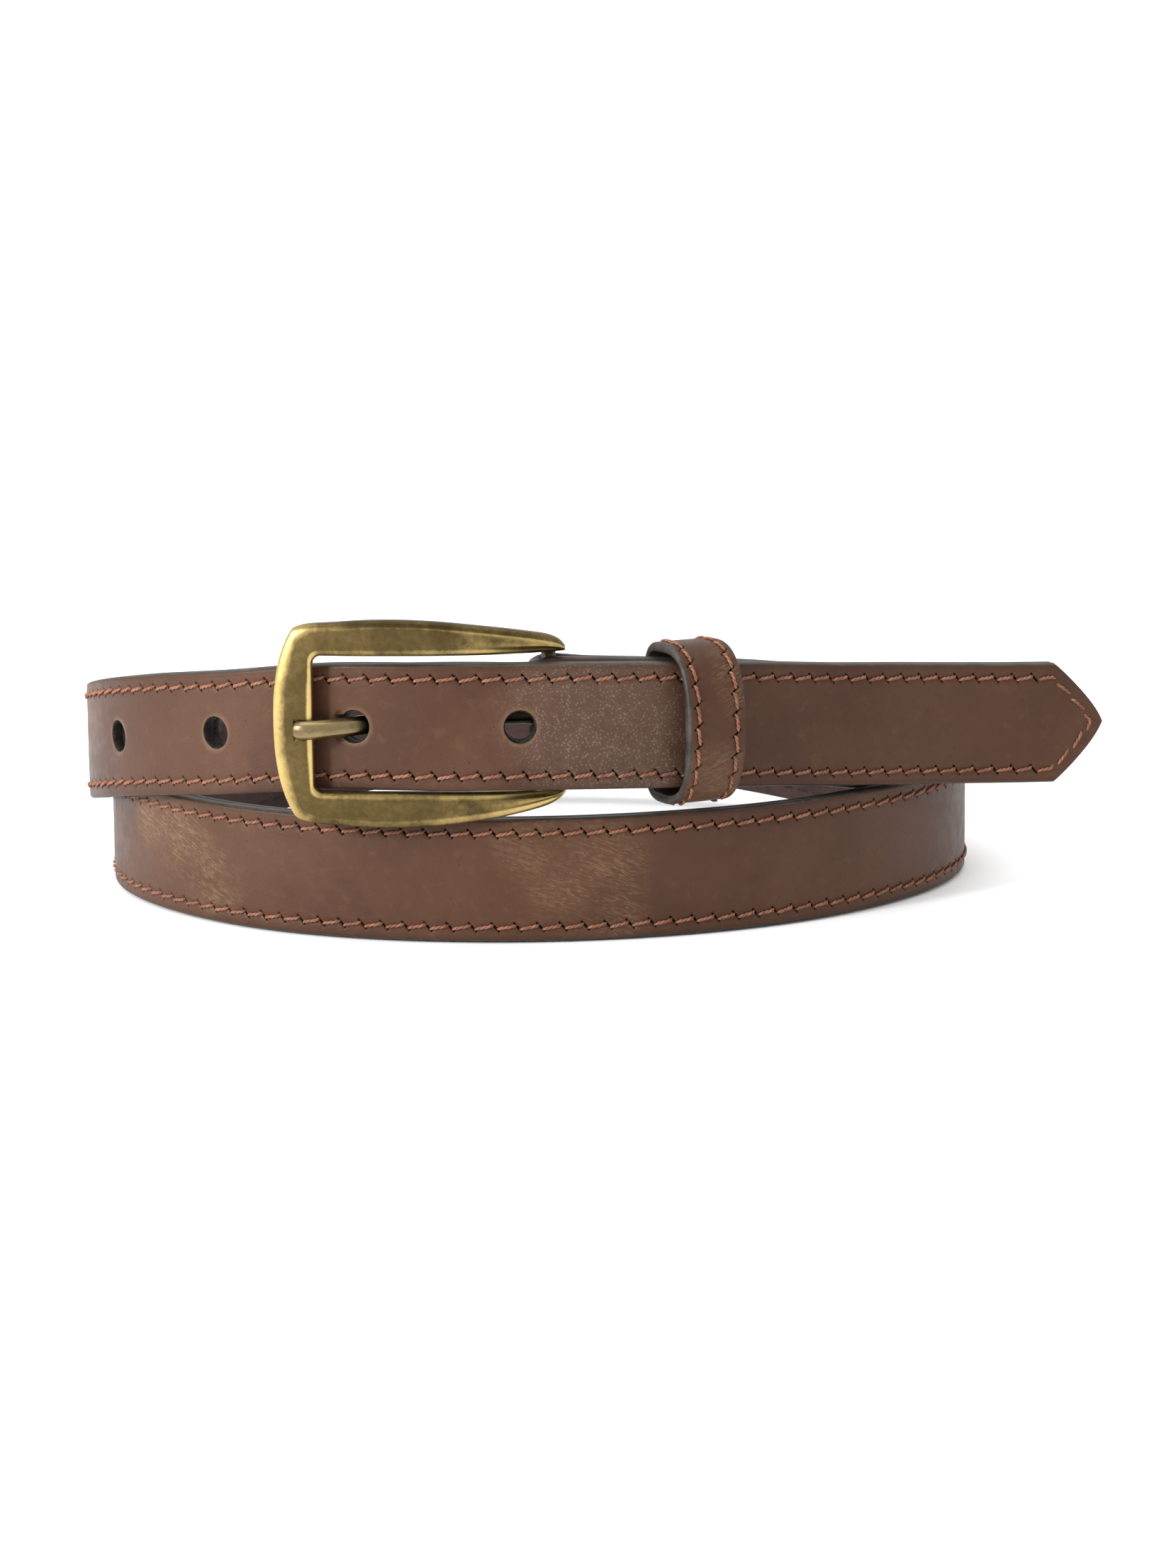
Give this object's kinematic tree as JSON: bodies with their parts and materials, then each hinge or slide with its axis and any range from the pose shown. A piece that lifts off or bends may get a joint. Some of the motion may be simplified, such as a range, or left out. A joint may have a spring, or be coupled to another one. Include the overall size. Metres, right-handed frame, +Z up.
{
  "type": "belt",
  "caption": "Slim stitched leather dress belt with an antique brass heel-bar buckle, buckled and coiled in two turns standing on edge.",
  "frame": {"origin": "on the supporting surface, under the middle of the coiled belt's bounding box", "axes": "+Z up, +X towards the belt's free tip, -Y towards the buckled front"},
  "size_m": [0.166, 0.1278, 0.05],
  "materials": {
    "face_leather": "semi-matt waxed pull-up leather, reddish brown with tan creases, dark painted edges",
    "lining_leather": "matt dark brown lining leather",
    "buckle_brass": "antique brass, olive-brown patina with rubbed bright edges",
    "prong_brass": "antique brass, slightly greyer than the frame",
    "rivet_brass": "antique brass, satin",
    "bar_steel": "plated steel, satin"
  },
  "bodies": {
    "strap": {"strap_face": "face_leather", "strap_lining": "lining_leather", "rivet_post_1": "rivet_brass", "rivet_screw_1": "rivet_brass", "rivet_post_2": "rivet_brass", "rivet_screw_2": "rivet_brass"},
    "buckle": {"buckle_frame": "buckle_brass", "heel_bar": "bar_steel"},
    "prong": {"prong": "prong_brass"},
    "keeper": {"keeper_face": "face_leather", "keeper_lining": "lining_leather", "keeper_staple": "bar_steel"}
  },
  "joints": [
    {"name": "buckle_swing", "type": "hinge", "parent": "strap", "child": "buckle", "pos_m": [-0.00578, -0.05534, 0.03413], "axis": [0, 0, 1], "range_deg": [-0.8, 1.2]},
    {"name": "prong_swing", "type": "hinge", "parent": "buckle", "child": "prong", "pos_m": [-0.00578, -0.05534, 0.03503], "axis": [0, 0, 1], "range_deg": [0, 0.8]},
    {"name": "keeper_slide", "type": "slide", "parent": "strap", "child": "keeper", "axis": [0.882, 0.4641, -0.0816], "range_m": [-0.001, 0.001]}
  ]
}
